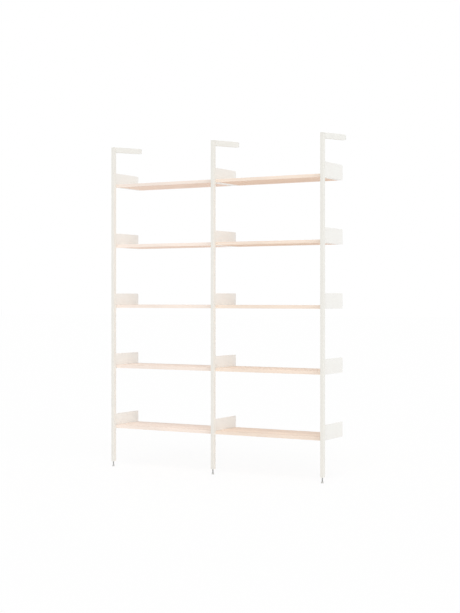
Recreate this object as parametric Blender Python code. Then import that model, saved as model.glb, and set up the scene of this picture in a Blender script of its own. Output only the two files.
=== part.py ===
"""Two-bay floor-to-wall shelving: grooved columns, folded brackets, boards, wall arms and levelling feet.

Metres, +Z up. The origin is on the floor under the middle column, half-way between the columns' front
faces and the wall. The front faces -Y and the wall is at +Y. Meshes measure Y from the columns' front.
"""

import math

import bmesh
import bpy
from mathutils import Matrix, Vector

# Layout
COLUMN_NAMES = ("left", "middle", "right")
COLUMN_PITCH = 0.760
LEVEL_COUNT = 5
LOWEST_LEVEL = 0.2505  # floor to the underside of the lowest board
HIGHEST_LEVEL_DROP = 0.2605  # column top to the underside of the highest board
WALL_DISTANCE = 0.333  # column front to wall
FOOT_HEIGHT = 0.033  # floor to the bottom of the column

# Clearances
SEAT_GAP = 0.0003  # between pieces that rest against each other
SLIDE_GAP = 0.0004  # between the groove and what slides along it

# Columns: an extrusion with a closed hollow in front and an undercut groove down the back
COLUMN_LENGTH = 2.060
COLUMN_WIDTH = 0.020
COLUMN_DEPTH = 0.028
COLUMN_WALL = 0.002
COLUMN_CORNER = 0.0015
GROOVE_LIP = 0.003
GROOVE_WEB = 0.002
GROOVE_SPARE_DEPTH = 0.0015

# Brackets: one folded sheet with a side plate, a flange under the board and two hook feet
SHEET = 0.002
FOLD_RADIUS = 0.0005
PLATE_HEIGHT = 0.094
PLATE_CORNER = 0.006
FLANGE_WIDTH = 0.030
FLANGE_CORNER = 0.005
FLANGE_SETBACK = 0.012  # board front to the front end of the flange
FOLD_RELIEF = 0.001  # cut-back of the plate beside the end of the flange fold
HOOK_HEIGHT = 0.024
HOOK_INSET = 0.010  # plate end to the nearest hook
HOOK_REACH = 0.004  # how far a hook foot grips behind its lip
HOOK_FOLD = 0.0016  # outer radius of a hook foot's fold
SCREW_HOLE = 0.0046
SCREW_HEAD = 0.0082
SCREW_INSET = 0.042  # flange end to the centre of its nearest screw hole
PILOT_DEPTH = 0.012

# Boards
BOARD_DEPTH = 0.270
BOARD_THICKNESS = 0.020
BOARD_ARRIS = 0.0008
BOARD_SETBACK = 0.001  # column back to board front

# Wall arms: a hollow arm whose head closes the column
ARM_HEIGHT = 0.0345
ARM_RISE = math.radians(3.7)
ARM_WALL = 0.002
ARM_CORNER = 0.0012
CAP_THICKNESS = 0.0025
SPIGOT_LENGTH = 0.030
KEY_INSET = 0.003  # arm underside to the lower end of its key

# Wall anchors and the set screws that lock the arms on them
ANCHOR_SHOWN = 0.018
ANCHOR_HELD = 0.034
ANCHOR_BORE = 0.0055
ANCHOR_SINK = 0.0105
SET_SCREW_DIAMETER = 0.005
SET_SCREW_BITE = 0.0035  # depth of the dimple in the anchor's underside
SET_SCREW_INSET = 0.012  # open end of the arm to its set screw
SET_SCREW_SOCKET = 0.0025
SET_SCREW_SOCKET_DEPTH = 0.002

# Feet
INSERT_LENGTH = 0.024
INSERT_RECESS = 0.001
SPINDLE_DIAMETER = 0.008
SPINDLE_HELD = 0.034  # column bottom to the top end of the spindle
SPINDLE_CHAMFER = 0.0008
BALL_DIAMETER = 0.007
NECK_DIAMETER = 0.005
HEXAGON_ACROSS_FLATS = 0.010
HEXAGON_HEIGHT = 0.004
GLIDE_DIAMETER = 0.016
GLIDE_TOP_DIAMETER = 0.0115
GLIDE_HEIGHT = 0.008
GLIDE_RIM = 0.003
GLIDE_FLOOR = 0.0014
GLIDE_CHAMFER = 0.0006

# Facets
CORNER_STEPS = 3
ROUND_PROFILE = 0.5  # a bevel of circular section
HOLE_SIDES = 12
HEXAGON_SIDES = 6
TURNED_SIDES = 20
BALL_STEPS = 5
SMOOTH_ANGLE = math.radians(35)  # facets that meet at less than this are shaded smooth
CUT_MARGIN = 0.002  # how far a cutter runs past what it cuts
TOLERANCE = 1e-6  # two points closer than this are one

# What follows from the sizes above
FRONT_Y = -WALL_DISTANCE / 2
COLUMN_TOP = FOOT_HEIGHT + COLUMN_LENGTH
LEVEL_PITCH = (COLUMN_TOP - HIGHEST_LEVEL_DROP - LOWEST_LEVEL) / (LEVEL_COUNT - 1)
COLUMN_X = tuple((index - 1) * COLUMN_PITCH for index in range(len(COLUMN_NAMES)))
PLATE_INNER = SEAT_GAP / 2  # two plates meet back to back on the column's centre plane
PLATE_OUTER = PLATE_INNER + SHEET
HOOK_END = PLATE_OUTER + HOOK_REACH
OPENING_HALF = PLATE_OUTER + SLIDE_GAP
CHAMBER_HALF = HOOK_END + SLIDE_GAP
LIP_INNER = COLUMN_DEPTH - GROOVE_LIP
CHAMBER_FLOOR = LIP_INNER - SEAT_GAP - SHEET - GROOVE_SPARE_DEPTH
HOLLOW_HALF = COLUMN_WIDTH / 2 - COLUMN_WALL
HOLLOW_BACK = CHAMBER_FLOOR - GROOVE_WEB
SPINDLE_Y = (COLUMN_WALL + HOLLOW_BACK) / 2
PLATE_FRONT = COLUMN_DEPTH + SEAT_GAP
BOARD_FRONT = COLUMN_DEPTH + BOARD_SETBACK
BOARD_BACK = BOARD_FRONT + BOARD_DEPTH
BOARD_END = PLATE_OUTER + FOLD_RADIUS + SEAT_GAP  # column centre plane to the end of a board
BOARD_LENGTH = COLUMN_PITCH - 2 * BOARD_END
FLANGE_FRONT = BOARD_FRONT + FLANGE_SETBACK
FLANGE_END = PLATE_INNER + FLANGE_WIDTH
SCREW_X = (PLATE_OUTER + FLANGE_END) / 2
SCREW_Y = (FLANGE_FRONT + SCREW_INSET, BOARD_BACK - SCREW_INSET)
TOP_Z = COLUMN_TOP + SEAT_GAP + CAP_THICKNESS
ARM_END = WALL_DISTANCE - ANCHOR_SHOWN
CAVITY_HALF = COLUMN_WIDTH / 2 - ARM_WALL
ANCHOR_HALF = CAVITY_HALF - SEAT_GAP
SET_SCREW_Y = ARM_END - SET_SCREW_INSET
BALL_CENTRE = GLIDE_FLOOR + SEAT_GAP + BALL_DIAMETER / 2
HEXAGON_BOTTOM = GLIDE_HEIGHT + SEAT_GAP


def clear_scene():
    """Remove every object that the scene starts with."""
    for item in list(bpy.data.objects):
        bpy.data.objects.remove(item)


def linear(channel):
    """Turn one 0 to 255 display value into a linear one."""
    value = channel / 255
    return value / 12.92 if value <= 0.04045 else ((value + 0.055) / 1.055) ** 2.4


def finish(name, colour, roughness, metallic):
    """Make a Principled material from a display colour."""
    material = bpy.data.materials.new(name)
    material.use_nodes = True
    shader = material.node_tree.nodes["Principled BSDF"]
    shader.inputs["Base Color"].default_value = [linear(channel) for channel in colour] + [1.0]
    shader.inputs["Roughness"].default_value = roughness
    shader.inputs["Metallic"].default_value = metallic
    return material


def arc(centre, radius, start_deg, end_deg, steps=CORNER_STEPS):
    """Points along an arc, both ends included."""
    angles = [math.radians(start_deg + (end_deg - start_deg) * step / steps) for step in range(steps + 1)]
    return [(centre[0] + radius * math.cos(a), centre[1] + radius * math.sin(a)) for a in angles]


def rectangle(low, high):
    """The four corners of an upright rectangle."""
    return [(low[0], low[1]), (high[0], low[1]), (high[0], high[1]), (low[0], high[1])]


def prism(outline, low, high, along):
    """Extrude a closed outline along X (outline in Y, Z) or along Z (outline in X, Y)."""
    shape = bmesh.new()
    if along == "X":
        corners = [shape.verts.new((low, u, v)) for u, v in outline]
        path = Vector((high - low, 0, 0))
    else:
        corners = [shape.verts.new((u, v, low)) for u, v in outline]
        path = Vector((0, 0, high - low))
    extrude_faces(shape, [shape.faces.new(corners)], path)
    bmesh.ops.recalc_face_normals(shape, faces=shape.faces)
    return shape


def extrude_faces(shape, faces, path):
    """Extrude faces of a bmesh along a vector."""
    edges = list({edge for face in faces for edge in face.edges})
    made = bmesh.ops.extrude_face_region(shape, geom=faces + edges)
    moved = [item for item in made["geom"] if isinstance(item, bmesh.types.BMVert)]
    bmesh.ops.translate(shape, verts=moved, vec=path)


def turned(profile, sides=TURNED_SIDES):
    """Spin a profile of (radius, height) points, which starts and ends on the Z axis, into a solid."""
    shape = bmesh.new()
    points = [shape.verts.new((radius, 0, height)) for radius, height in profile]
    edges = [shape.edges.new(pair) for pair in zip(points, points[1:])]
    bmesh.ops.spin(shape, geom=points + edges, cent=(0, 0, 0), axis=(0, 0, 1), angle=2 * math.pi,
                   steps=sides, use_merge=True)
    bmesh.ops.remove_doubles(shape, verts=shape.verts, dist=TOLERANCE)
    bmesh.ops.recalc_face_normals(shape, faces=shape.faces)
    return shape


def rod(diameter, low, high, x=0.0, y=0.0, sides=HOLE_SIDES):
    """An upright rod between two heights."""
    shape = bmesh.new()
    bmesh.ops.create_cone(shape, cap_ends=True, segments=sides, radius1=diameter / 2, radius2=diameter / 2,
                          depth=high - low, matrix=Matrix.Translation((x, y, (low + high) / 2)))
    return shape


def countersunk_hole(bore, mouth, depth, matrix):
    """A cutter for a hole with a 90 degree countersink at its mouth, along Z before it is placed."""
    low, high = -CUT_MARGIN, depth + CUT_MARGIN
    profile = [(0, low), (mouth / 2 - low, low), (bore / 2, (mouth - bore) / 2), (bore / 2, high), (0, high)]
    shape = turned(profile, HOLE_SIDES)
    bmesh.ops.transform(shape, matrix=matrix, verts=shape.verts)
    return shape


def bevel_where(shape, wanted, width, segments=CORNER_STEPS):
    """Round the edges whose two end points both satisfy a test."""
    edges = [edge for edge in shape.edges if all(wanted(vertex.co) for vertex in edge.verts)]
    bmesh.ops.bevel(shape, geom=edges, offset=width, offset_type="OFFSET", segments=segments,
                    profile=ROUND_PROFILE, affect="EDGES", clamp_overlap=True, material=-1)


def near(value, target):
    """Whether two lengths are equal within the precision of a mesh."""
    return abs(value - target) < TOLERANCE


def to_mesh(shape, name):
    """Store a bmesh as a mesh."""
    mesh = bpy.data.meshes.new(name)
    shape.to_mesh(mesh)
    shape.free()
    return mesh


def combined(mesh, shape, operation):
    """Apply a Boolean with a bmesh to a mesh and return the new mesh."""
    body = bpy.data.objects.new("body", mesh)
    tool = bpy.data.objects.new("tool", to_mesh(shape, "tool"))
    for item in (body, tool):
        bpy.context.scene.collection.objects.link(item)
    modifier = body.modifiers.new("boolean", "BOOLEAN")
    modifier.operation = operation
    modifier.solver = "EXACT"
    modifier.object = tool
    result = bpy.data.meshes.new_from_object(body.evaluated_get(bpy.context.evaluated_depsgraph_get()))
    for item in (body, tool):
        bpy.data.objects.remove(item)
    return result


def cut(mesh, *shapes):
    """Subtract bmeshes from a mesh one after another."""
    for shape in shapes:
        mesh = combined(mesh, shape, "DIFFERENCE")
    return mesh


def joined(mesh, *shapes):
    """Fuse bmeshes with a mesh one after another."""
    for shape in shapes:
        mesh = combined(mesh, shape, "UNION")
    return mesh


def place(name, mesh, material, location, parent=None):
    """Make one named piece, smooth over its shallow facets."""
    mesh.materials.clear()
    mesh.materials.append(material)
    mesh.shade_smooth()
    mesh.set_sharp_from_angle(angle=SMOOTH_ANGLE)
    piece = bpy.data.objects.new(name, mesh)
    bpy.context.scene.collection.objects.link(piece)
    piece.location = location
    piece.parent = parent
    return piece


def pivot(name, location):
    """An empty that carries the pieces of one moving body."""
    empty = bpy.data.objects.new(name, None)
    bpy.context.scene.collection.objects.link(empty)
    empty.location = location
    return empty


def column_mesh():
    """The extruded column: rounded outside, hollow front chamber, undercut groove in its back."""
    half = COLUMN_WIDTH / 2
    inset = half - COLUMN_CORNER
    back = COLUMN_DEPTH - COLUMN_CORNER
    outline = arc((-inset, COLUMN_CORNER), COLUMN_CORNER, 180, 270)
    outline += arc((inset, COLUMN_CORNER), COLUMN_CORNER, 270, 360)
    outline += arc((inset, back), COLUMN_CORNER, 0, 90)
    groove_side = [(OPENING_HALF, COLUMN_DEPTH), (OPENING_HALF, LIP_INNER),
                   (CHAMBER_HALF, LIP_INNER), (CHAMBER_HALF, CHAMBER_FLOOR)]
    outline += groove_side
    outline += [(-x, y) for x, y in reversed(groove_side)]
    outline += arc((-inset, back), COLUMN_CORNER, 90, 180)
    body = to_mesh(prism(outline, 0, COLUMN_LENGTH, "Z"), "column")
    hollow = rectangle((-HOLLOW_HALF, COLUMN_WALL), (HOLLOW_HALF, HOLLOW_BACK))
    return cut(body, prism(hollow, -CUT_MARGIN, COLUMN_LENGTH + CUT_MARGIN, "Z"))


def hook_spans():
    """Lower and upper ends of the two hook feet of a bracket."""
    return ((HOOK_INSET, HOOK_INSET + HOOK_HEIGHT),
            (PLATE_HEIGHT - HOOK_INSET - HOOK_HEIGHT, PLATE_HEIGHT - HOOK_INSET))


def bracket_blank():
    """The flat pattern of a bracket's plate at its inner face, in cells that share their edges."""
    shape = bmesh.new()
    corners = {}

    def face(points):
        """Add one cell, with corners shared between neighbours."""
        for point in points:
            if point not in corners:
                corners[point] = shape.verts.new((PLATE_INNER, point[0], point[1]))
        return shape.faces.new([corners[point] for point in points])

    foot_back = LIP_INNER - SEAT_GAP
    foot_front = foot_back - SHEET
    relief_y = FLANGE_FRONT
    relief_z = SHEET + FOLD_RADIUS + FOLD_RELIEF
    plate = [(PLATE_FRONT, relief_z), (relief_y, relief_z), (relief_y, SHEET), (BOARD_BACK, SHEET),
             (BOARD_BACK, PLATE_HEIGHT), (PLATE_FRONT, PLATE_HEIGHT)]
    for low, high in reversed(hook_spans()):
        plate += [(PLATE_FRONT, high), (PLATE_FRONT, low)]
        face([(foot_back, low), (PLATE_FRONT, low), (PLATE_FRONT, high), (foot_back, high)])
        face([(foot_front, low), (foot_back, low), (foot_back, high), (foot_front, high)])
    face(plate)
    face([(relief_y, 0.0), (BOARD_BACK, 0.0), (BOARD_BACK, SHEET), (relief_y, SHEET)])
    return shape, foot_front, foot_back


def bracket_mesh(side):
    """A folded bracket: side 1 carries a board on its +X side, side -1 is the other hand."""
    shape, foot_front, foot_back = bracket_blank()
    extrude_faces(shape, list(shape.faces), Vector((SHEET, 0, 0)))
    bmesh.ops.recalc_face_normals(shape, faces=shape.faces)

    def outer_cells(wanted):
        """Cells on the plate's outer face whose middle satisfies a test."""
        centres = [(face, face.calc_center_median()) for face in shape.faces]
        return [face for face, middle in centres if near(middle.x, PLATE_OUTER) and wanted(middle)]

    flange_root = outer_cells(lambda middle: middle.z < SHEET)
    extrude_faces(shape, flange_root, Vector((FLANGE_END - PLATE_OUTER, 0, 0)))
    hook_roots = outer_cells(lambda middle: middle.y < foot_back)
    extrude_faces(shape, hook_roots, Vector((HOOK_REACH, 0, 0)))

    bevel_where(shape, lambda co: near(co.x, PLATE_INNER) and near(co.z, 0), SHEET + FOLD_RADIUS)
    bevel_where(shape, lambda co: near(co.x, PLATE_OUTER) and near(co.z, SHEET), FOLD_RADIUS)
    bevel_where(shape, lambda co: near(co.x, PLATE_INNER) and near(co.y, foot_front), HOOK_FOLD)
    bevel_where(shape, lambda co: near(co.x, FLANGE_END) and near(co.y, FLANGE_FRONT), FLANGE_CORNER)
    bevel_where(shape, lambda co: near(co.y, BOARD_BACK) and near(co.z, PLATE_HEIGHT), PLATE_CORNER)
    mesh = to_mesh(shape, "bracket")
    for y in SCREW_Y:
        mesh = cut(mesh, countersunk_hole(SCREW_HOLE, SCREW_HEAD, SHEET, Matrix.Translation((SCREW_X, y, 0))))
    if side < 0:
        mesh.transform(Matrix.Diagonal((-1, 1, 1, 1)))
        mesh.flip_normals()
    return mesh


def rebate_outline():
    """Plan of the routed pocket for a flange, with X measured from the column's centre plane."""
    corner = FLANGE_CORNER + SEAT_GAP
    front = FLANGE_FRONT - SEAT_GAP
    inner = FLANGE_END + SEAT_GAP
    back = BOARD_BACK + CUT_MARGIN
    return [(0, front)] + arc((inner - corner, front + corner), corner, 270, 360) + [(inner, back), (0, back)]


def board_mesh():
    """A board with a shallow rebate under each end for the flange, and pilot holes for its screws."""
    low = (BOARD_FRONT + BOARD_ARRIS, BOARD_ARRIS)
    high = (BOARD_BACK - BOARD_ARRIS, BOARD_THICKNESS - BOARD_ARRIS)
    outline = arc(low, BOARD_ARRIS, 180, 270, 2) + arc((high[0], low[1]), BOARD_ARRIS, 270, 360, 2)
    outline += arc(high, BOARD_ARRIS, 0, 90, 2) + arc((low[0], high[1]), BOARD_ARRIS, 90, 180, 2)
    mesh = to_mesh(prism(outline, -BOARD_LENGTH / 2, BOARD_LENGTH / 2, "X"), "board")
    ceiling = SHEET + SEAT_GAP
    for side in (-1, 1):
        plane = side * COLUMN_PITCH / 2  # the column's centre plane
        pocket = [(plane - side * x, y) for x, y in rebate_outline()]
        mesh = cut(mesh, prism(pocket, -CUT_MARGIN, ceiling, "Z"))
        for y in SCREW_Y:
            top = ceiling + PILOT_DEPTH
            mesh = cut(mesh, rod(SCREW_HOLE, -CUT_MARGIN, top, plane - side * SCREW_X, y))
    return mesh


def arm_rise(y):
    """How far the arm has risen at a distance behind the column's front."""
    return y * math.tan(ARM_RISE)


def sloped_band(start, end, inset):
    """The arm's side outline between two distances, drawn in by an inset above and below."""
    return [(start, arm_rise(start) - ARM_HEIGHT + inset), (end, arm_rise(end) - ARM_HEIGHT + inset),
            (end, arm_rise(end) - inset), (start, arm_rise(start) - inset)]


def arm_mesh():
    """A wall arm: a cap with a spigot over the column, a key in its groove and a hollow rising arm."""
    half = COLUMN_WIDTH / 2
    underside = sloped_band(PLATE_FRONT, ARM_END, 0)[:2]
    top = [(ARM_END, arm_rise(ARM_END)), (0, 0)]
    outline = [(0, -CAP_THICKNESS), (PLATE_FRONT, -CAP_THICKNESS)] + underside + top
    shape = prism(outline, -half, half, "X")

    def rounded(edge):
        """The cap's front and the arm's long edges, but not its seat on the column or its open end."""
        start, end = (vertex.co for vertex in edge.verts)
        middle = (start + end) / 2
        above = middle.z - arm_rise(middle.y)
        in_front = near(middle.y, 0)
        on_top = near(above, 0)
        along_side = near(start.x, end.x) and (in_front or on_top or near(above, -ARM_HEIGHT))
        return along_side or (in_front and on_top)

    edges = [edge for edge in shape.edges if rounded(edge)]
    bmesh.ops.bevel(shape, geom=edges, offset=ARM_CORNER, offset_type="OFFSET", segments=CORNER_STEPS,
                    profile=ROUND_PROFILE, affect="EDGES", clamp_overlap=True, material=-1)
    mesh = to_mesh(shape, "wall_arm")

    cavity = sloped_band(PLATE_FRONT + ARM_WALL, ARM_END + CUT_MARGIN, ARM_WALL)
    lock_hole = rod(SET_SCREW_DIAMETER + 2 * SEAT_GAP, -ARM_HEIGHT, arm_rise(SET_SCREW_Y) - ARM_HEIGHT / 2,
                    0, SET_SCREW_Y)
    mesh = cut(mesh, prism(cavity, -CAVITY_HALF, CAVITY_HALF, "X"), lock_hole)

    inside_cap = -CAP_THICKNESS / 2
    spigot = rectangle((-HOLLOW_HALF + SEAT_GAP, COLUMN_WALL + SEAT_GAP),
                       (HOLLOW_HALF - SEAT_GAP, HOLLOW_BACK - SEAT_GAP))
    neck = OPENING_HALF - SLIDE_GAP
    head = CHAMBER_HALF - SLIDE_GAP
    head_back = LIP_INNER - SEAT_GAP
    key_side = [(neck, PLATE_FRONT + ARM_WALL / 2), (neck, head_back),
                (head, head_back), (head, head_back - SHEET)]
    key = key_side + [(-x, y) for x, y in reversed(key_side)]
    return joined(mesh, prism(spigot, -CAP_THICKNESS - SPIGOT_LENGTH, inside_cap, "Z"),
                  prism(key, KEY_INSET - ARM_HEIGHT, inside_cap, "Z"))


def anchor_mesh():
    """A wall anchor: a block cut to the arm's slope, bored and countersunk for one wall screw."""
    start = ARM_END - ANCHOR_HELD
    outline = sloped_band(start, WALL_DISTANCE, ARM_WALL + SEAT_GAP)
    mesh = to_mesh(prism(outline, -ANCHOR_HALF, ANCHOR_HALF, "X"), "wall_anchor")
    middle = arm_rise(WALL_DISTANCE) - ARM_HEIGHT / 2
    into_wall = Matrix.Translation((0, start, middle)) @ Matrix.Rotation(-math.pi / 2, 4, "X")
    bore = countersunk_hole(ANCHOR_BORE, ANCHOR_SINK, WALL_DISTANCE - start, into_wall)
    dimple = rod(SET_SCREW_DIAMETER + 2 * SEAT_GAP, -ARM_HEIGHT, dimple_top(), 0, SET_SCREW_Y)
    return cut(mesh, bore, dimple)


def dimple_top():
    """Height of the top of the dimple that a set screw bites into."""
    return arm_rise(SET_SCREW_Y) - ARM_HEIGHT + ARM_WALL + SET_SCREW_BITE


def set_screw_mesh():
    """A grub screw through the arm's underside into its anchor, with a hexagon socket in its lower end."""
    bottom = arm_rise(SET_SCREW_Y) - ARM_HEIGHT
    mesh = to_mesh(rod(SET_SCREW_DIAMETER, bottom, dimple_top() - SEAT_GAP, 0, SET_SCREW_Y), "arm_set_screw")
    socket = rod(SET_SCREW_SOCKET, bottom - CUT_MARGIN, bottom + SET_SCREW_SOCKET_DEPTH, 0, SET_SCREW_Y,
                 sides=HEXAGON_SIDES)
    return cut(mesh, socket)


def insert_mesh():
    """The plug in the bottom of a column, bored for the spindle's thread."""
    outline = rectangle((-HOLLOW_HALF + SEAT_GAP, COLUMN_WALL + SEAT_GAP - SPINDLE_Y),
                        (HOLLOW_HALF - SEAT_GAP, HOLLOW_BACK - SEAT_GAP - SPINDLE_Y))
    low = FOOT_HEIGHT + INSERT_RECESS
    mesh = to_mesh(prism(outline, low, low + INSERT_LENGTH, "Z"), "foot_insert")
    bore = rod(SPINDLE_DIAMETER + 2 * SEAT_GAP, low - CUT_MARGIN, low + INSERT_LENGTH + CUT_MARGIN,
               sides=TURNED_SIDES)
    return cut(mesh, bore)


def spindle_mesh():
    """The foot's stem: ball end, neck, hexagon for a spanner and threaded shank."""
    ball = BALL_DIAMETER / 2
    neck = NECK_DIAMETER / 2
    shank = SPINDLE_DIAMETER / 2
    top = FOOT_HEIGHT + SPINDLE_HELD
    neck_angle = 90 - math.degrees(math.asin(neck / ball))
    ball_profile = arc((0, BALL_CENTRE), ball, -90, neck_angle, BALL_STEPS)
    middle = HEXAGON_BOTTOM + HEXAGON_HEIGHT / 2
    profile = [(0, ball_profile[0][1])] + ball_profile[1:]
    profile += [(neck, middle), (shank, middle), (shank, top - SPINDLE_CHAMFER),
                (shank - SPINDLE_CHAMFER, top), (0, top)]
    mesh = to_mesh(turned(profile), "foot_spindle")
    across_corners = HEXAGON_ACROSS_FLATS / math.cos(math.pi / HEXAGON_SIDES)
    hexagon_top = HEXAGON_BOTTOM + HEXAGON_HEIGHT
    return joined(mesh, rod(across_corners, HEXAGON_BOTTOM, hexagon_top, sides=HEXAGON_SIDES))


def glide_mesh():
    """The pad on the floor, with a socket for the spindle's ball."""
    outer = GLIDE_DIAMETER / 2
    socket = BALL_DIAMETER / 2 + SEAT_GAP
    profile = [(0, 0), (outer - GLIDE_CHAMFER, 0), (outer, GLIDE_CHAMFER), (outer, GLIDE_RIM),
               (GLIDE_TOP_DIAMETER / 2, GLIDE_HEIGHT), (socket, GLIDE_HEIGHT), (socket, GLIDE_FLOOR),
               (0, GLIDE_FLOOR)]
    return to_mesh(turned(profile), "foot_glide")


def build_columns():
    """Columns with what is fixed to them: wall arms, anchors, set screws and foot inserts."""
    coat = finish("column_powder_coat", (238, 235, 227), 0.45, 0.0)
    arm_coat = finish("arm_powder_coat", (236, 235, 229), 0.45, 0.0)
    anchor_coat = finish("anchor_powder_coat", (234, 233, 227), 0.45, 0.0)
    steel = finish("set_screw_steel", (150, 151, 152), 0.35, 1.0)
    nylon = finish("insert_nylon", (205, 205, 200), 0.55, 0.0)
    fixed = (
        ("column", column_mesh(), coat, (FRONT_Y, FOOT_HEIGHT)),
        ("wall_arm", arm_mesh(), arm_coat, (FRONT_Y, TOP_Z)),
        ("wall_anchor", anchor_mesh(), anchor_coat, (FRONT_Y, TOP_Z)),
        ("arm_set_screw", set_screw_mesh(), steel, (FRONT_Y, TOP_Z)),
        ("foot_insert", insert_mesh(), nylon, (FRONT_Y + SPINDLE_Y, 0)),
    )
    for side, x in zip(COLUMN_NAMES, COLUMN_X):
        for kind, mesh, material, (y, z) in fixed:
            place(f"{kind}_{side}", mesh, material, (x, y, z))


def build_feet():
    """Levelling feet: each glide rises and falls with its spindle, which turns on the same axis."""
    zinc = finish("spindle_zinc", (172, 173, 174), 0.35, 1.0)
    plastic = finish("glide_plastic", (190, 190, 188), 0.60, 0.0)
    spindle = spindle_mesh()
    glide = glide_mesh()
    for side, x in zip(COLUMN_NAMES, COLUMN_X):
        axis = pivot(f"foot_axis_{side}", (x, FRONT_Y + SPINDLE_Y, 0))
        place(f"foot_spindle_{side}", spindle, zinc, (0, 0, 0), axis)
        place(f"foot_glide_{side}", glide, plastic, (0, 0, 0), axis)


def build_shelves():
    """Shelves, numbered from the floor: each is a board on a left-hand and a right-hand bracket."""
    timber = finish("board_timber", (236, 216, 196), 0.50, 0.0)
    coat = finish("bracket_powder_coat", (239, 236, 229), 0.45, 0.0)
    board = board_mesh()
    hands = {"left": (-COLUMN_PITCH / 2, bracket_mesh(1)), "right": (COLUMN_PITCH / 2, bracket_mesh(-1))}
    for bay, x in zip(("left", "right"), COLUMN_X):
        for level in range(LEVEL_COUNT):
            z = LOWEST_LEVEL + level * LEVEL_PITCH
            carriage = pivot(f"carriage_{bay}_{level + 1}", (x + COLUMN_PITCH / 2, FRONT_Y, z))
            place(f"shelf_{bay}_{level + 1}", board, timber, (0, 0, 0), carriage)
            for end, (offset, mesh) in hands.items():
                place(f"bracket_{bay}_{level + 1}_{end}", mesh, coat, (offset, 0, 0), carriage)


def main():
    """Build the whole unit."""
    clear_scene()
    build_columns()
    build_feet()
    build_shelves()


main()
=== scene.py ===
"""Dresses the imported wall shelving: finishes for its solids, screws, threaded feet, studio and camera.

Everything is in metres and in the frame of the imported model: +X to the right, +Y to the wall, +Z up.
"""

import logging
import math
from dataclasses import dataclass
from enum import Enum

import bmesh
import bpy
from bmesh.types import BMEdge, BMesh, BMVert
from bpy.types import Material, Mesh, Node, NodeSocket, NodeTree
from mathutils import Matrix, Vector


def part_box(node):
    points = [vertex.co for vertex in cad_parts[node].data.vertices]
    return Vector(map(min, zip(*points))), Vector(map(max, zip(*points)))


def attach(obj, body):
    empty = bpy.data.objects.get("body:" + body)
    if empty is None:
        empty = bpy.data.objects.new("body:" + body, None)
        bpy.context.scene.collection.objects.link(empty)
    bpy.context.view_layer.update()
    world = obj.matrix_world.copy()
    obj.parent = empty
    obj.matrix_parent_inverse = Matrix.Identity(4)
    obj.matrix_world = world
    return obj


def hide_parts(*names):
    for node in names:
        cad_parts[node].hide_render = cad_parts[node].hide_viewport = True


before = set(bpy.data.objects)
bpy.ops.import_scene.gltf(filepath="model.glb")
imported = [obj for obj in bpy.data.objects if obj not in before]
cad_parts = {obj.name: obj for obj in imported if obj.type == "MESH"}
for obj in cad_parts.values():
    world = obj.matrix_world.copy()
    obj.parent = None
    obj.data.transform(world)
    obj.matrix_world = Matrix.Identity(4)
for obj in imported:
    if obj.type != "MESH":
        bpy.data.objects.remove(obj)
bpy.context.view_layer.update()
LOG = logging.getLogger("shelving")

Colour = tuple[int, int, int]
Linear = tuple[float, float, float, float]
Triple = tuple[float, float, float]
Pair = tuple[float, float]
Source = NodeSocket | float | Triple | Linear

ORIGIN: Triple = (0.0, 0.0, 0.0)
UNIT: Triple = (1.0, 1.0, 1.0)
UP: Triple = (0.0, 0.0, 1.0)
WHITE: Linear = (1.0, 1.0, 1.0, 1.0)
FULL_TURN = 2 * math.pi
LEVELS = range(1, 6)  # 1 is the lowest

# Meshes
SMOOTH_ANGLE = math.radians(32)  # faces that meet at less than this are shaded as one
ROUND_PROFILE = 0.5  # a bevel of circular section
MERGE = 2e-6  # two points closer than this are one
CUT_TOLERANCE = MERGE / 4  # a point closer than this to a cut lies on it
END_TOLERANCE = 1e-5  # a point closer than this to the height of an open end belongs to it
HEXAGON_SIDES = 6
PIN_SIDES = 24
LOBE_COUNT = 6
LOBE_DEPTH = 0.16  # of a recess's mean radius
RECESS_DRAFT = 0.05  # of a recess's width, by which its walls draw in

# Patterns
NOISE_CORE: Pair = (0.35, 0.65)  # where most of a noise's values lie
NOISE_SPREAD: Pair = (0.30, 0.70)  # where nearly all of them lie
SHARE: Pair = (0.0, 1.0)
MIX_FACTOR, MIX_FIRST, MIX_SECOND, MIX_RESULT = 0, 6, 7, 2  # a Mix node's sockets for colours


class Side(Enum):
    """The three columns, seen from the front."""

    LEFT = "left"
    MIDDLE = "middle"
    RIGHT = "right"


class Bay(Enum):
    """The two bays between the columns."""

    LEFT = "left"
    RIGHT = "right"


class Slot(Enum):
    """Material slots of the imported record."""

    SET_SCREW = "set_screw_steel"
    SPINDLE = "spindle_zinc"
    GLIDE = "glide_plastic"


class Op(Enum):
    """What a Math node works out."""

    ADD = "ADD"
    SUBTRACT = "SUBTRACT"
    MULTIPLY = "MULTIPLY"
    DIVIDE = "DIVIDE"
    ROOT = "SQRT"
    FLOOR = "FLOOR"
    FRACTION = "FRACT"
    MAGNITUDE = "ABSOLUTE"
    LARGER = "MAXIMUM"


class Blend(Enum):
    """How a Mix node joins two colours."""

    MIX = "MIX"
    MULTIPLY = "MULTIPLY"


class Recess(Enum):
    """Shapes of a driver recess."""

    HEXAGON = "hexagon"
    LOBES = "lobes"

    def reach(self, angle: float, width: float) -> float:
        """How far the recess reaches from its centre.

        Args:
            angle: Direction, in radians.
            width: Half the recess across its flats, or its mean radius.

        Returns:
            The distance to the recess wall in that direction.
        """
        if self is Recess.HEXAGON:
            sixth = FULL_TURN / HEXAGON_SIDES
            return width / math.cos((angle + sixth / 2) % sixth - sixth / 2)
        return width * (1 + LOBE_DEPTH * math.cos(LOBE_COUNT * angle))


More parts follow.
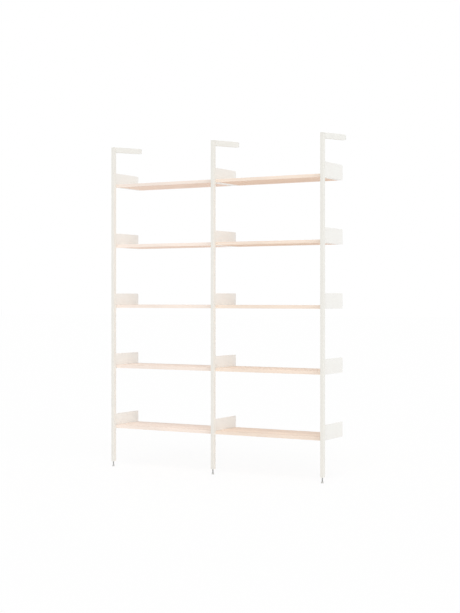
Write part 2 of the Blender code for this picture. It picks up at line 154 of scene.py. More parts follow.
def linear(colour: Colour) -> Linear:
    """Turn a display colour into a linear one.

    Args:
        colour: Red, green and blue from 0 to 255.

    Returns:
        The linear colour with an alpha of 1.
    """
    parts = [channel / 255 for channel in colour]
    red, green, blue = (v / 12.92 if v <= 0.04045 else ((v + 0.055) / 1.055) ** 2.4 for v in parts)
    return red, green, blue, 1.0


def even(size: float) -> Triple:
    """The same size along X, Y and Z."""
    return size, size, size


class Graph:
    """A material's node tree, with short calls for the nodes that the finishes share."""

    def __init__(self, name: str) -> None:
        """Start a material that holds only its Principled shader.

        Args:
            name: Name of the material.
        """
        self.material: Material = bpy.data.materials.new(name)
        self.material.use_nodes = True
        self.tree: NodeTree = self.material.node_tree
        self.shader: Node = self.tree.nodes["Principled BSDF"]

    def node(self, kind: str, **settings: str) -> Node:
        """Add a node and set its options.

        Args:
            kind: Blender's name of the node type.
            settings: Options by name.

        Returns:
            The node.
        """
        made = self.tree.nodes.new(kind)
        for key, value in settings.items():
            setattr(made, key, value)
        return made

    def feed(self, socket: NodeSocket, value: Source) -> None:
        """Link a socket to another one, or set its value.

        Args:
            socket: The input.
            value: The output that it reads, or a constant.
        """
        if isinstance(value, NodeSocket):
            self.tree.links.new(value, socket)
        else:
            socket.default_value = value

    def place(self, centre: Triple, size: Triple) -> NodeSocket:
        """Object coordinates counted from a centre in units of a feature's size.

        Args:
            centre: Where the pattern starts, in metres.
            size: Feature size along X, Y and Z, in metres.

        Returns:
            The vector socket.
        """
        mapping = self.node("ShaderNodeMapping", vector_type="TEXTURE")
        self.feed(mapping.inputs["Vector"], self.node("ShaderNodeTexCoord").outputs["Object"])
        mapping.inputs["Location"].default_value = centre
        mapping.inputs["Scale"].default_value = size
        return mapping.outputs["Vector"]

    def noise(self, centre: Triple, size: Triple, detail: float = 2.0) -> NodeSocket:
        """Soft noise with features of a given size.

        Args:
            centre: Where the pattern starts, in metres.
            size: Feature size along X, Y and Z, in metres.
            detail: How many finer octaves are added.

        Returns:
            The noise value, about 0.5 on average.
        """
        made = self.node("ShaderNodeTexNoise")
        self.feed(made.inputs["Vector"], self.place(centre, size))
        made.inputs["Scale"].default_value = 1.0
        made.inputs["Detail"].default_value = detail
        return made.outputs[0]

    def math(self, operation: Op, first: Source, second: Source = 0.0) -> NodeSocket:
        """One Math node.

        Args:
            operation: What it works out.
            first: First value.
            second: Second value, where the operation has one.

        Returns:
            The result.
        """
        made = self.node("ShaderNodeMath", operation=operation.value)
        self.feed(made.inputs[0], first)
        self.feed(made.inputs[1], second)
        return made.outputs[0]

    def span(self, value: NodeSocket, source: Pair, target: Pair) -> NodeSocket:
        """Carry a value smoothly from one range to another, held at its ends.

        Args:
            value: What is mapped.
            source: The range it comes from.
            target: The range it goes to.

        Returns:
            The mapped value.
        """
        made = self.node("ShaderNodeMapRange", interpolation_type="SMOOTHSTEP")
        for socket, number in zip(made.inputs, (value, *source, *target)):
            self.feed(socket, number)
        return made.outputs[0]

    def blend(self, factor: Source, first: Source, second: Source, mode: Blend = Blend.MIX) -> NodeSocket:
        """Join two colours.

        Args:
            factor: Share of the second colour.
            first: First colour.
            second: Second colour.
            mode: How they are joined.

        Returns:
            The joined colour.
        """
        made = self.node("ShaderNodeMix", data_type="RGBA", blend_type=mode.value)
        for index, value in ((MIX_FACTOR, factor), (MIX_FIRST, first), (MIX_SECOND, second)):
            self.feed(made.inputs[index], value)
        return made.outputs[MIX_RESULT]

    def parts(self, vector: NodeSocket) -> list[NodeSocket]:
        """Take a vector apart.

        Args:
            vector: The vector.

        Returns:
            Its three parts.
        """
        made = self.node("ShaderNodeSeparateXYZ")
        self.feed(made.inputs[0], vector)
        return list(made.outputs)

    def bump(self, height: NodeSocket, depth: float) -> None:
        """Raise the surface by a height pattern.

        Args:
            height: The pattern, from 0 to 1.
            depth: What a height of 1 stands for, in metres.
        """
        made = self.node("ShaderNodeBump")
        made.inputs["Strength"].default_value = 1.0
        made.inputs["Distance"].default_value = depth
        self.feed(made.inputs["Height"], height)
        self.feed(self.shader.inputs["Normal"], made.outputs[0])

    def surface(self, colour: Source, roughness: Source, metallic: float = 0.0) -> None:
        """Set the shader's main sockets.

        Args:
            colour: Base colour.
            roughness: Roughness.
            metallic: 1 for bare metal.
        """
        self.feed(self.shader.inputs["Base Color"], colour)
        self.feed(self.shader.inputs["Roughness"], roughness)
        self.shader.inputs["Metallic"].default_value = metallic


@dataclass(frozen=True)
class PowderCoat:
    """Satin powder coat: a fine orange-peel skin over a faintly clouded colour."""

    name: str
    colour: Colour
    thin: Colour  # where the coat is thinner
    cloud: float = 0.070  # feature sizes
    peel: float = 0.0016
    grain: float = 0.00045
    peel_share: float = 0.75  # of the skin's height
    grain_share: float = 0.25
    speckle: Pair = (0.975, 1.015)  # what the colour is multiplied by from grain to grain
    depth: float = 0.000035
    roughness: Pair = (0.38, 0.50)

    def make(self) -> Material:
        """Build the material.

        Returns:
            The material.
        """
        graph = Graph(self.name)
        cloud = graph.noise(ORIGIN, even(self.cloud), detail=3.0)
        peel = graph.noise(ORIGIN, even(self.peel))
        grain = graph.noise(ORIGIN, even(self.grain), detail=1.0)
        patches = graph.span(cloud, NOISE_CORE, SHARE)
        clouded = graph.blend(patches, linear(self.colour), linear(self.thin))
        speckle = graph.span(grain, NOISE_SPREAD, self.speckle)
        skin = graph.math(Op.ADD, graph.math(Op.MULTIPLY, peel, self.peel_share),
                          graph.math(Op.MULTIPLY, grain, self.grain_share))
        graph.surface(graph.blend(1.0, clouded, speckle, Blend.MULTIPLY),
                      graph.span(skin, NOISE_CORE, self.roughness))
        graph.bump(skin, self.depth)
        return graph.material


@dataclass(frozen=True)
class PaleTimber:
    """Whitened timber glued up from full-length staves, with its grain along X and painted shade on its
    underside.

    Three sizes together are a pattern's feature size along X, Y and Z, and a tone multiplies the colour.
    """

    pale: Colour = (251, 239, 230)
    late: Colour = (244, 224, 209)
    pore: Colour = (222, 192, 168)
    underside_shade: Colour = (255, 245, 239)  # painted shade: what the underside is multiplied by, darker and warmer for the shade beneath a board
    underside_shade_edge: float = 0.0004  # height over which the underside's painted shade ends
    late_share: float = 0.55  # how far the late wood's colour shows
    pore_share: float = 0.45
    stave: float = 0.072
    stave_tone: Pair = (0.965, 1.020)
    seed_step: float = 7.31  # keeps the staves of two boards from drawing the same chances
    glue_line: Pair = (0.4955, 0.4990)  # where a joint starts and ends, in staves from the stave's middle
    glue_tone: float = 0.90
    ring: float = 0.0036
    ring_rise: Pair = (0.25, 0.86)  # share of a ring over which the late wood sets in
    ring_fall: Pair = (0.90, 1.0)
    wander: float = 0.013
    sway: Triple = (0.420, 0.085, 0.085)  # feature size of the rings' wandering
    heart_reach: float = 2.2  # width, in staves, of the band in which a stave's heart may lie
    heart_drop: Pair = (0.018, 0.110)  # how far the heart lies below the middle of the board
    fibre: Triple = (0.120, 0.0013, 0.0013)
    fibre_tone: Pair = (0.955, 1.030)
    fibre_relief: float = 0.35
    blotch: Triple = (0.300, 0.060, 0.060)
    blotch_tone: Pair = (0.965, 1.020)
    pores: Triple = (0.026, 0.00060, 0.00060)
    pore_band: Pair = (0.58, 0.70)  # noise values over which a pore opens
    pore_relief: float = 0.65
    pore_depth: float = 0.00006
    rare_from: float = 0.7  # share of late wood from which on pores are rare
    rare_pores: float = 0.25  # how far the rare ones open
    roughness: Pair = (0.70, 0.60)  # early wood and late wood
    gloss: float = 0.18  # a matt lacquer mirrors little

    def make(self, name: str, low: Vector, high: Vector, seed: int) -> Material:
        """Build the material of one board.

        Args:
            name: Name of the material.
            low: Lowest corner of the board.
            high: Highest corner of the board.
            seed: Number that sets this board's staves apart from the others'.

        Returns:
            The material.
        """
        graph = Graph(name)
        centre = tuple((low + high) / 2)
        bottom = (low.z - high.z) / 2
        _, across, up = graph.parts(graph.place(centre, UNIT))
        counted = graph.math(Op.DIVIDE, across, self.stave)
        in_stave = graph.math(Op.SUBTRACT, graph.math(Op.FRACTION, counted), 0.5)
        chance = self.chances(graph, graph.math(Op.FLOOR, counted), seed)
        rings = self.rings(graph, centre, in_stave, up, chance)
        fibre = graph.noise(centre, self.fibre, detail=3.0)
        blotch = graph.noise(centre, self.blotch)
        pores = self.open_pores(graph, centre, rings)
        shown_rings = graph.math(Op.MULTIPLY, rings, self.late_share)
        colour = graph.blend(shown_rings, linear(self.pale), linear(self.late))
        tones = ((fibre, NOISE_SPREAD, self.fibre_tone), (blotch, NOISE_SPREAD, self.blotch_tone),
                 (chance[2], SHARE, self.stave_tone),
                 (graph.math(Op.MAGNITUDE, in_stave), self.glue_line, (1.0, self.glue_tone)))
        for pattern, source, target in tones:
            colour = graph.blend(1.0, colour, graph.span(pattern, source, target), Blend.MULTIPLY)
        colour = graph.blend(graph.math(Op.MULTIPLY, pores, self.pore_share), colour, linear(self.pore))
        # Painted shade: the underside is multiplied by a darker, warmer colour, as the shade beneath a
        # board
        underside = graph.span(up, (bottom, bottom + self.underside_shade_edge), (1.0, 0.0))
        colour = graph.blend(underside, colour, linear(self.underside_shade), Blend.MULTIPLY)
        graph.surface(colour, graph.span(rings, SHARE, self.roughness))
        graph.shader.inputs["Specular IOR Level"].default_value = self.gloss
        relief = graph.math(Op.SUBTRACT, graph.math(Op.MULTIPLY, fibre, self.fibre_relief),
                            graph.math(Op.MULTIPLY, pores, self.pore_relief))
        graph.bump(relief, self.pore_depth)
        return graph.material

    def chances(self, graph: Graph, index: NodeSocket, seed: int) -> list[NodeSocket]:
        """Three chance values for each stave.

        Args:
            graph: The material's graph.
            index: Number of the stave.
            seed: Number of the board.

        Returns:
            Values from 0 to 1.
        """
        made = graph.node("ShaderNodeTexWhiteNoise", noise_dimensions="1D")
        graph.feed(made.inputs["W"], graph.math(Op.ADD, index, self.seed_step * seed))
        return graph.parts(made.outputs["Color"])

    def rings(self, graph: Graph, centre: Triple, in_stave: NodeSocket, up: NodeSocket,
              chance: list[NodeSocket]) -> NodeSocket:
        """Growth rings about each stave's own heart, which wander along the board.

        Args:
            graph: The material's graph.
            centre: Middle of the board.
            in_stave: Place across the stave, from -0.5 to 0.5.
            up: Height above the middle of the board.
            chance: Chance values of the stave.

        Returns:
            0 in the early wood and 1 in the late wood.
        """
        in_reach = graph.math(Op.SUBTRACT, chance[0], 0.5)
        heart = graph.math(Op.MULTIPLY, in_reach, self.heart_reach * self.stave)
        side = graph.math(Op.SUBTRACT, graph.math(Op.MULTIPLY, in_stave, self.stave), heart)
        rise = graph.math(Op.ADD, up, graph.span(chance[1], SHARE, self.heart_drop))
        squares = graph.math(Op.ADD, graph.math(Op.MULTIPLY, side, side),
                             graph.math(Op.MULTIPLY, rise, rise))
        sway = graph.math(Op.MULTIPLY, graph.noise(centre, self.sway), self.wander)
        radius = graph.math(Op.ADD, graph.math(Op.ROOT, squares), sway)
        phase = graph.math(Op.FRACTION, graph.math(Op.DIVIDE, radius, self.ring))
        return graph.math(Op.MULTIPLY, graph.span(phase, self.ring_rise, SHARE),
                          graph.span(phase, self.ring_fall, (1.0, 0.0)))

    def open_pores(self, graph: Graph, centre: Triple, rings: NodeSocket) -> NodeSocket:
        """Short open pores along the grain, fewer of them in the late wood.

        Args:
            graph: The material's graph.
            centre: Middle of the board.
            rings: 0 in the early wood and 1 in the late wood.

        Returns:
            1 in a pore and 0 outside.
        """
        pores = graph.noise(centre, self.pores, detail=1.0)
        return graph.math(Op.MULTIPLY, graph.span(pores, self.pore_band, SHARE),
                          graph.span(rings, (0.0, self.rare_from), (1.0, self.rare_pores)))


@dataclass(frozen=True)
class BareMetal:
    """Bare or plated metal with drawn lines and faint cloudy patches."""

    name: str
    bright: Colour
    dull: Colour
    lines: Triple  # feature size of the drawn lines
    roughness: Pair
    depth: float = 0.000006
    cloud: float = 0.006

    def make(self) -> Material:
        """Build the material.

        Returns:
            The material.
        """
        graph = Graph(self.name)
        cloud = graph.noise(ORIGIN, even(self.cloud), detail=3.0)
        lines = graph.noise(ORIGIN, self.lines)
        patches = graph.span(cloud, NOISE_CORE, SHARE)
        graph.surface(graph.blend(patches, linear(self.bright), linear(self.dull)),
                      graph.span(lines, NOISE_SPREAD, self.roughness), metallic=1.0)
        graph.bump(lines, self.depth)
        return graph.material


@dataclass(frozen=True)
class MouldedPlastic:
    """Moulded plastic with a fine spark-eroded skin."""

    name: str
    colour: Colour
    worn: Colour
    flow: Triple = (0.009, 0.009, 0.005)  # feature size of the patches that the flow in the mould leaves
    skin: float = 0.00030
    depth: float = 0.000020
    roughness: Pair = (0.46, 0.60)

    def make(self) -> Material:
        """Build the material.

        Returns:
            The material.
        """
        graph = Graph(self.name)
        flow = graph.noise(ORIGIN, self.flow, detail=3.0)
        skin = graph.noise(ORIGIN, even(self.skin), detail=1.0)
        patches = graph.span(flow, NOISE_CORE, SHARE)
        graph.surface(graph.blend(patches, linear(self.colour), linear(self.worn)),
                      graph.span(skin, NOISE_CORE, self.roughness))
        graph.bump(skin, self.depth)
        return graph.material


def dress(node: str, material: Material) -> None:
    """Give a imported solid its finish.

    Args:
        node: Name of the solid.
        material: The finish.
    """
    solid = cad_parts[node]
    if not solid.material_slots:
        solid.data.materials.append(material)
    for slot in solid.material_slots:
        slot.material = material
    LOG.info("%s dressed in %s", node, material.name)


def add_piece(name: str, shape: BMesh, material: Material, body: str, slot: Slot, *replaced: str) -> None:
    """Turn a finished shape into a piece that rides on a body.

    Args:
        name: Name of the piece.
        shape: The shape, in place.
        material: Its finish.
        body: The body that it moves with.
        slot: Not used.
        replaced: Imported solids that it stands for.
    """
    mesh = store(shape, name)
    mesh.materials.append(material)
    mesh.shade_smooth()
    mesh.set_sharp_from_angle(angle=SMOOTH_ANGLE)
    piece = bpy.data.objects.new(name, mesh)
    bpy.context.scene.collection.objects.link(piece)
    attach(piece, body)
    if replaced:
        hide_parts(*replaced)
    LOG.info("%s: %d faces, rides on %s", name, len(mesh.polygons), body)


def store(shape: BMesh, name: str) -> Mesh:
    """Keep a bmesh as a mesh.

    Args:
        shape: The shape, which is freed.
        name: Name of the mesh.

    Returns:
        The mesh.
    """
    mesh = bpy.data.meshes.new(name)
    shape.to_mesh(mesh)
    shape.free()
    return mesh


def copies(pattern: Mesh, places: list[Vector]) -> BMesh:
    """Set copies of a shape at several places.

    Args:
        pattern: The shape at the origin.
        places: Where each copy goes.

    Returns:
        One bmesh with all the copies.
    """
    together = bmesh.new()
    for place in places:
        before = len(together.verts)
        together.from_mesh(pattern)
        together.verts.ensure_lookup_table()
        bmesh.ops.translate(together, verts=together.verts[before:], vec=place)
    return together


def fused(first: BMesh, second: BMesh) -> BMesh:
    """Unite two closed shapes.

    Args:
        first: One shape, which is freed.
        second: The other shape, which is freed.

    Returns:
        Their union.
    """
    body = bpy.data.objects.new("body", store(first, "body"))
    tool = bpy.data.objects.new("tool", store(second, "tool"))
    for item in (body, tool):
        bpy.context.scene.collection.objects.link(item)
    modifier = body.modifiers.new("union", "BOOLEAN")
    modifier.operation = "UNION"
    modifier.solver = "EXACT"
    modifier.object = tool
    shape = bmesh.new()
    shape.from_object(body, bpy.context.evaluated_depsgraph_get())
    for item in (body, tool):
        mesh = item.data
        bpy.data.objects.remove(item)
        bpy.data.meshes.remove(mesh)
    return shape


def chain(shape: BMesh, points: list[Triple]) -> list[BMVert | BMEdge]:
    """Add points and the edges that join each one to the next.

    Args:
        shape: The shape that takes them.
        points: Where the points go.

    Returns:
        The new points and edges.
    """
    verts = [shape.verts.new(point) for point in points]
    return verts + [shape.edges.new(pair) for pair in zip(verts, verts[1:])]


def next_ring(shape: BMesh, loop: list[BMEdge], scale: float, rise: float) -> list[BMEdge]:
    """Carry an open end about the Z axis on to another ring.

    Args:
        shape: The open shape.
        loop: Edges of its open end.
        scale: Radius of the new ring as a share of the old one's.
        rise: How far the new ring is above the old one.

    Returns:
        Edges of the new open end.
    """
    made = bmesh.ops.extrude_edge_only(shape, edges=loop)["geom"]
    moved = [item for item in made if isinstance(item, BMVert)]
    bmesh.ops.scale(shape, vec=(scale, scale, 1), verts=moved)
    bmesh.ops.translate(shape, vec=(0, 0, rise), verts=moved)
    return [item for item in made if isinstance(item, BMEdge)]


def turned(profile: list[Pair], sides: int) -> BMesh:
    """Spin a profile that starts and ends on the Z axis.

    Args:
        profile: Radius and height of each point.
        sides: Facets round the axis.

    Returns:
        The solid.
    """
    shape = bmesh.new()
    line = chain(shape, [(radius, 0.0, height) for radius, height in profile])
    bmesh.ops.spin(shape, geom=line, cent=ORIGIN, axis=UP, angle=FULL_TURN, steps=sides, use_merge=True)
    bmesh.ops.remove_doubles(shape, verts=shape.verts, dist=MERGE)
    bmesh.ops.recalc_face_normals(shape, faces=shape.faces)
    return shape


def recessed_pin(rings: list[Pair], recess: Recess, width: float, depth: float) -> BMesh:
    """A turned pin whose first ring carries a driver recess.

    Args:
        rings: Radius and height of each ring, from the driven end to the far end.
        recess: Shape of the recess.
        width: Half the recess across its flats, or its mean radius.
        depth: How far the recess goes in along +Z.

    Returns:
        The solid, driven from below.
    """
    shape = bmesh.new()
    radius, height = rings[0]
    bmesh.ops.create_circle(shape, cap_ends=True, segments=PIN_SIDES, radius=radius,
                            matrix=Matrix.Translation((0, 0, height)))
    shape.faces.ensure_lookup_table()
    floor = shape.faces[0]
    bmesh.ops.inset_individual(shape, faces=[floor], thickness=radius - width)
    for vertex in floor.verts:
        reach = recess.reach(math.atan2(vertex.co.y, vertex.co.x), width)
        vertex.co.xy = vertex.co.xy.normalized() * reach
    bmesh.ops.inset_individual(shape, faces=[floor], thickness=RECESS_DRAFT * width)
    bmesh.ops.translate(shape, verts=floor.verts, vec=(0, 0, depth))
    loop = [edge for edge in shape.edges if edge.is_boundary]
    for next_radius, next_height in rings[1:]:
        loop = next_ring(shape, loop, next_radius / radius, next_height - height)
        radius, height = next_radius, next_height
    bmesh.ops.holes_fill(shape, edges=loop, sides=0)
    bmesh.ops.recalc_face_normals(shape, faces=shape.faces)
    return shape


@dataclass
class Columns:
    """The three columns and the plugs in their feet."""

    coat: PowderCoat = PowderCoat("column_coat", colour=(234, 232, 226), thin=(232, 230, 224))
    nylon: MouldedPlastic = MouldedPlastic("insert_nylon", colour=(206, 206, 201), worn=(198, 198, 193))

    def build(self) -> None:
        """Dress the columns and their plugs."""
        coat = self.coat.make()
        nylon = self.nylon.make()
        for side in Side:
            dress(f"column_{side.value}", coat)
            dress(f"foot_insert_{side.value}", nylon)


@dataclass
class Shelves:
    """Boards on folded brackets, with the screws that hold them together."""

    pale_timber: PaleTimber = PaleTimber()
    # Painted shade: a darker, warmer copy of the timber for the right bay, standing for light that falls
    # off towards the right; its underside takes a darker painted shade too
    shaded_right_timber: PaleTimber = PaleTimber(pale=(248, 233, 219), late=(241, 217, 198), pore=(220, 188, 161),
                                         underside_shade=(251, 241, 235))
    coat: PowderCoat = PowderCoat("bracket_coat", colour=(238, 237, 233), thin=(237, 235, 231),
                                  depth=0.000012, roughness=(0.18, 0.26))
    steel: BareMetal = BareMetal("screw_steel", bright=(196, 197, 198), dull=(176, 177, 178),
                                 lines=even(0.0004), roughness=(0.28, 0.42))
    head_radius: float = 0.0040
    head_rim: float = 0.0002  # bevel round the head
    head_sink: float = 0.0001  # flange underside to the screw head
    shank_radius: float = 0.0020
    shank_length: float = 0.0125
    point_length: float = 0.003
    point_radius: float = 0.0003
    recess_radius: float = 0.0016
    recess_depth: float = 0.0013
    from_flange_edge: float = 0.014
    front_inset: float = 0.054  # board front to the front screw
    back_inset: float = 0.042  # board back to the back screw

    def screw(self) -> BMesh:
        """One countersunk screw, driven from below into the underside of its flange at height 0.

        Returns:
            The screw.
        """
        head, shank = self.head_radius, self.shank_radius
        rim = self.head_sink + self.head_rim
        rings = [(head - self.head_rim, self.head_sink), (head, rim), (shank, rim + head - shank),
                 (shank, self.shank_length - self.point_length), (self.point_radius, self.shank_length)]
        return recessed_pin(rings, Recess.LOBES, self.recess_radius, self.recess_depth)

    def places(self, name: str) -> list[Vector]:
        """Where the screws of one board sit.

        Args:
            name: Bay and level of the board.

        Returns:
            Where each screw meets the underside of its flange.
        """
        front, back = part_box(f"shelf_{name}")
        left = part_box(f"bracket_{name}_left")
        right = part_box(f"bracket_{name}_right")
        edges = (left[1].x - self.from_flange_edge, right[0].x + self.from_flange_edge)
        rows = (front.y + self.front_inset, back.y - self.back_inset)
        return [Vector((x, y, left[0].z)) for x in edges for y in rows]

    def build(self) -> None:
        """Dress boards and brackets, and add the screws of each board."""
        coat = self.coat.make()
        steel = self.steel.make()
        screw = store(self.screw(), "screw")
        seed = 0
        # The right bay's boards take the copy of the timber with painted shade.
        for bay, timber in ((Bay.LEFT, self.pale_timber), (Bay.RIGHT, self.shaded_right_timber)):
            for level in LEVELS:
                seed += 1
                name = f"{bay.value}_{level}"
                low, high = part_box(f"shelf_{name}")
                dress(f"shelf_{name}", timber.make(f"timber_{name}", low, high, seed))
                dress(f"bracket_{name}_left", coat)
                dress(f"bracket_{name}_right", coat)
                screws = copies(screw, self.places(name))
                add_piece(f"shelf_screws_{name}", screws, steel, f"carriage_{name}", Slot.SET_SCREW)


@dataclass
class WallArms:
    """Arms that close the columns, the anchors they slide over and the screws that lock them."""

    coat: PowderCoat = PowderCoat("arm_coat", colour=(236, 235, 230), thin=(234, 233, 228))
    anchor_coat: PowderCoat = PowderCoat("anchor_coat", colour=(233, 232, 228), thin=(231, 230, 226))
    steel: BareMetal = BareMetal("lock_screw_steel", bright=(150, 151, 152), dull=(128, 129, 131),
                                 lines=even(0.0004), roughness=(0.30, 0.45))
    socket_half: float = 0.00125
    socket_depth: float = 0.0020
    chamfer: float = 0.0004
    point_chamfer: float = 0.0008

    def lock_screw(self, node: str) -> BMesh:
        """A grub screw in the place of a packed one.

        Args:
            node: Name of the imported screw.

        Returns:
            The screw, in place.
        """
        low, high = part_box(node)
        radius = (high.x - low.x) / 2
        height = high.z - low.z
        rings = [(radius - self.chamfer, 0.0), (radius, self.chamfer),
                 (radius, height - self.point_chamfer), (radius - self.point_chamfer, height)]
        shape = recessed_pin(rings, Recess.HEXAGON, self.socket_half, self.socket_depth)
        place = ((low.x + high.x) / 2, (low.y + high.y) / 2, low.z)
        bmesh.ops.translate(shape, verts=shape.verts, vec=place)
        return shape

    def build(self) -> None:
        """Dress arms and anchors, and set finer lock screws in place."""
        coat = self.coat.make()
        anchor_coat = self.anchor_coat.make()
        steel = self.steel.make()
        for side in Side:
            node = f"arm_set_screw_{side.value}"
            dress(f"wall_arm_{side.value}", coat)
            dress(f"wall_anchor_{side.value}", anchor_coat)
            add_piece(f"lock_screw_{side.value}", self.lock_screw(node), steel,
                      "frame", Slot.SET_SCREW, node)


@dataclass
class Feet:
    """Levelling feet: a threaded spindle whose ball end turns in a moulded glide."""

    zinc: BareMetal = BareMetal("spindle_zinc", bright=(206, 207, 208), dull=(186, 186, 184),
                                lines=(0.0006, 0.0006, 0.0003), roughness=(0.26, 0.42))
    plastic: MouldedPlastic = MouldedPlastic("glide_plastic", colour=(194, 194, 192), worn=(184, 184, 182))
    crest: float = 0.00395
    root: float = 0.00325
    pitch: float = 0.00125
    crest_from: float = 0.40  # shares of the pitch
    crest_to: float = 0.52
    root_from: float = 0.92
    steps: int = 36  # facets in one turn of the thread
    spare_turns: int = 2  # turns that are cut off at the ends
    end_chamfer: float = 0.0008
    ball_radius: float = 0.0035
    ball_steps: int = 14
    neck_radius: float = 0.0025
    hexagon_flats: float = 0.010
    hexagon_low: float = 0.0083
    hexagon_height: float = 0.0040
    hexagon_corner: float = 0.0004
    corner_steps: int = 2
    thread_start: float = 0.75  # share of the hexagon's height at which the thread starts inside it
    sides: int = 48  # facets round a turned piece
    # Radius and height along a glide: dished underside, rim, bead, shoulder and socket for the ball
    glide_profile: tuple[Pair, ...] = (
        (0.0, 0.0004), (0.0052, 0.0004), (0.0058, 0.0), (0.0072, 0.0), (0.0076, 0.0001), (0.0079, 0.0004),
        (0.0080, 0.0008), (0.0080, 0.0024), (0.0079, 0.0028), (0.0076, 0.0032), (0.0070, 0.0042),
        (0.0068, 0.0047), (0.0068, 0.0052), (0.0064, 0.0054), (0.0061, 0.0060), (0.0057, 0.0074),
        (0.0055, 0.0078), (0.0051, 0.0080), (0.0042, 0.0080), (0.0039, 0.0079), (0.0038, 0.0076),
        (0.0038, 0.0018), (0.0034, 0.0014), (0.0, 0.0014))

    def thread(self, low: float, high: float) -> BMesh:
        """A right-hand threaded shank between two heights.

        Args:
            low: Lower end.
            high: Upper end.

        Returns:
            The closed shank.
        """
        shape = bmesh.new()
        pitch = self.pitch
        shoulder = high - self.end_chamfer
        turns = math.ceil((high - low) / pitch) + self.spare_turns
        profile = ((self.root, 0.0), (self.crest, self.crest_from), (self.crest, self.crest_to),
                   (self.root, self.root_from), (self.root, 1.0))
        line = chain(shape, [(radius, 0.0, low + (share - 1) * pitch) for radius, share in profile])
        bmesh.ops.spin(shape, geom=line, cent=ORIGIN, axis=UP, dvec=(0, 0, pitch / self.steps),
                       angle=FULL_TURN * turns, steps=self.steps * turns)
        bmesh.ops.remove_doubles(shape, verts=shape.verts, dist=MERGE)
        for height, direction in ((low, -1), (shoulder, 1)):
            everything = list(shape.verts) + list(shape.edges) + list(shape.faces)
            bmesh.ops.bisect_plane(shape, geom=everything, dist=CUT_TOLERANCE, plane_co=(0, 0, height),
                                   plane_no=(0, 0, direction), clear_outer=True)
        self.close_end(shape, low, 0.0)
        self.close_end(shape, shoulder, self.end_chamfer)
        bmesh.ops.recalc_face_normals(shape, faces=shape.faces)
        return shape

    def close_end(self, shape: BMesh, height: float, chamfer: float) -> None:
        """Close one end of a shank, with a chamfer where it has one.

        Args:
            shape: The open shank.
            height: Height of the open end.
            chamfer: How far the end rises and draws in.
        """
        loop = [edge for edge in shape.edges
                if edge.is_boundary and abs(edge.verts[0].co.z - height) < END_TOLERANCE]
        if chamfer:
            loop = next_ring(shape, loop, (self.root - chamfer) / self.root, chamfer)
        bmesh.ops.holes_fill(shape, edges=loop, sides=0)

    def hexagon(self) -> BMesh:
        """The hexagon for a spanner, with its corners turned off.

        Returns:
            The hexagon.
        """
        shape = bmesh.new()
        radius = self.hexagon_flats / 2 / math.cos(math.pi / HEXAGON_SIDES)
        middle = self.hexagon_low + self.hexagon_height / 2
        bmesh.ops.create_cone(shape, cap_ends=True, segments=HEXAGON_SIDES, radius1=radius, radius2=radius,
                              depth=self.hexagon_height, matrix=Matrix.Translation((0, 0, middle)))
        bmesh.ops.bevel(shape, geom=list(shape.edges), offset=self.hexagon_corner, offset_type="OFFSET",
                        segments=self.corner_steps, profile=ROUND_PROFILE, affect="EDGES", material=-1)
        return shape

    def stem(self, low: float) -> BMesh:
        """The ball end and the neck that runs up into the hexagon.

        Args:
            low: Lowest point of the ball.

        Returns:
            The turned stem.
        """
        ball = self.ball_radius
        top = self.hexagon_low + self.hexagon_height / 2
        first, last = -math.pi / 2, math.acos(self.neck_radius / ball)
        count = self.ball_steps
        angles = [first + (last - first) * step / count for step in range(1, count + 1)]
        profile = [(0.0, low)] + [(ball * math.cos(a), low + ball + ball * math.sin(a)) for a in angles]
        return turned(profile + [(self.neck_radius, top), (0.0, top)], self.sides)

    def spindle(self, low: float, high: float) -> BMesh:
        """A whole spindle about the Z axis.

        Args:
            low: Lowest point of its ball.
            high: End of its thread.

        Returns:
            The spindle.
        """
        inside = self.hexagon_low + self.hexagon_height * self.thread_start
        lower = fused(self.hexagon(), self.stem(low))
        return fused(lower, self.thread(inside, high))

    def build(self) -> None:
        """Set a spindle and a glide in the place of each packed one."""
        zinc = self.zinc.make()
        plastic = self.plastic.make()
        low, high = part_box("foot_spindle_middle")
        spindle = store(self.spindle(low.z, high.z), "spindle")
        glide = store(turned(list(self.glide_profile), self.sides), "glide")
        for side in Side:
            node = f"foot_spindle_{side.value}"
            low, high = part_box(node)
            axis = [Vector(((low.x + high.x) / 2, (low.y + high.y) / 2, 0.0))]
            add_piece(f"threaded_spindle_{side.value}", copies(spindle, axis), zinc,
                      f"spindle_{side.value}", Slot.SPINDLE, node)
            add_piece(f"moulded_glide_{side.value}", copies(glide, axis), plastic,
                      f"glide_{side.value}", Slot.GLIDE, f"foot_glide_{side.value}")


@dataclass(frozen=True)
class Lamp:
    """A far, wide lamp."""

    name: str
    strength: float  # what it adds to a surface that faces it
    bearing: float  # degrees from the front towards the right
    height: float  # degrees above the horizon
    spread: float  # degrees that it spans

    def build(self) -> None:
        """Set the lamp up."""
        data = bpy.data.lights.new(self.name, "SUN")
        data.angle = math.radians(self.spread)
        data.energy = math.pi * self.strength
        lamp = bpy.data.objects.new(self.name, data)
        bearing, height = math.radians(self.bearing), math.radians(self.height)
        level = math.cos(height)
        towards = Vector((math.sin(bearing) * level, -math.cos(bearing) * level, math.sin(height)))
        lamp.rotation_euler = towards.to_track_quat("Z", "Y").to_euler()
        bpy.context.scene.collection.objects.link(lamp)


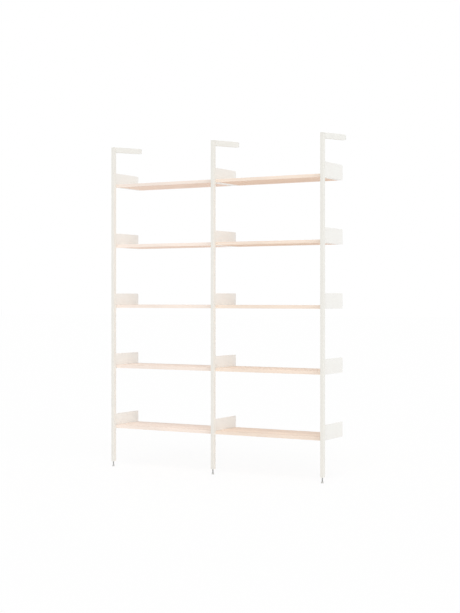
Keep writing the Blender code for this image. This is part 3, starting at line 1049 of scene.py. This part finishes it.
@dataclass
class Studio:
    """The camera at the photograph's viewing angle, soft light and a pale floor that keeps the shadow."""

    image: tuple[int, int] = (460, 613)
    focal_pixels: float = 1256.75
    horizon: float = 297.24  # image row of the camera's own height
    place: Triple = (4.0194, -6.9425, 1.1107)
    turn: float = 0.5211  # radians to the left of straight ahead
    sight: float = 200.0  # how far the camera sees
    sky: float = 0.70  # strength of the even light from all round
    lamps: tuple[Lamp, ...] = (Lamp("high", strength=0.24, bearing=25, height=58, spread=30),
                               Lamp("side", strength=0.215, bearing=65, height=14, spread=30))
    floor_half: float = 60.0
    floor_colour: Colour = (253, 253, 252)  # what the floor throws back on the object
    floor_white: float = 0.90  # share of plain white in what the camera sees of the floor

    def camera(self) -> None:
        """Make the camera."""
        data = bpy.data.cameras.new("camera")
        long_side = max(self.image)
        data.lens = self.focal_pixels * data.sensor_width / long_side
        data.shift_y = (self.horizon - self.image[1] / 2) / long_side
        data.clip_end = self.sight
        camera = bpy.data.objects.new("camera", data)
        camera.location = self.place
        camera.rotation_euler = (math.pi / 2, 0.0, self.turn)
        bpy.context.scene.collection.objects.link(camera)
        bpy.context.scene.camera = camera

    def world(self) -> None:
        """Light the scene evenly, and show plain white behind it."""
        world = bpy.data.worlds.new("studio")
        world.use_nodes = True
        tree = world.node_tree
        light = tree.nodes["Background"]
        light.inputs["Color"].default_value = WHITE
        light.inputs["Strength"].default_value = self.sky
        white = tree.nodes.new("ShaderNodeBackground")
        white.inputs["Color"].default_value = WHITE
        white.inputs["Strength"].default_value = 1.0
        self.share_out(tree, light, white, tree.nodes["World Output"])
        bpy.context.scene.world = world

    def share_out(self, tree: NodeTree, lighting: Node, shown: Node, output: Node) -> None:
        """Send one shader to the rays that light the object and another to those that show the background.

        Args:
            tree: The node tree.
            lighting: What lights the object.
            shown: What the camera sees, straight or mirrored.
            output: The tree's output.
        """
        path = tree.nodes.new("ShaderNodeLightPath")
        seen = path.outputs["Is Camera Ray"]
        for name in ("Is Glossy Ray", "Is Transmission Ray"):
            either = tree.nodes.new("ShaderNodeMath")
            either.operation = Op.LARGER.value
            tree.links.new(seen, either.inputs[0])
            tree.links.new(path.outputs[name], either.inputs[1])
            seen = either.outputs[0]
        mix = tree.nodes.new("ShaderNodeMixShader")
        for index, socket in enumerate((seen, lighting.outputs[0], shown.outputs[0])):
            tree.links.new(socket, mix.inputs[index])
        tree.links.new(mix.outputs[0], output.inputs["Surface"])

    def floor_finish(self) -> Material:
        """A pale surface, which the camera sees as white, so that only the shadow shows on it.

        Returns:
            The material.
        """
        material = bpy.data.materials.new("floor")
        material.use_nodes = True
        tree = material.node_tree
        pale = tree.nodes.new("ShaderNodeBsdfDiffuse")
        pale.inputs["Color"].default_value = linear(self.floor_colour)
        white = tree.nodes.new("ShaderNodeBsdfDiffuse")
        white.inputs["Color"].default_value = WHITE
        glow = tree.nodes.new("ShaderNodeEmission")
        glow.inputs["Strength"].default_value = 1.0
        shown = tree.nodes.new("ShaderNodeMixShader")
        shown.inputs[0].default_value = self.floor_white
        tree.links.new(white.outputs[0], shown.inputs[1])
        tree.links.new(glow.outputs[0], shown.inputs[2])
        self.share_out(tree, pale, shown, tree.nodes["Material Output"])
        tree.nodes.remove(tree.nodes["Principled BSDF"])
        return material

    def floor(self) -> None:
        """Lay the floor."""
        shape = bmesh.new()
        bmesh.ops.create_grid(shape, x_segments=1, y_segments=1, size=self.floor_half)
        floor = bpy.data.objects.new("floor", store(shape, "floor"))
        bpy.context.scene.collection.objects.link(floor)
        floor.data.materials.append(self.floor_finish())

    def build(self) -> None:
        """Make the camera, the light and the floor."""
        self.camera()
        self.world()
        for lamp in self.lamps:
            lamp.build()
        self.floor()
        bpy.context.scene.view_settings.view_transform = "Standard"
        LOG.info("studio ready")


def main() -> None:
    """Build the sub-assemblies and the studio in order."""
    logging.basicConfig(level=logging.INFO, format="%(name)s: %(message)s")
    for assembly in (Columns(), Shelves(), WallArms(), Feet(), Studio()):
        assembly.build()


if __name__ == "__main__":
    main()
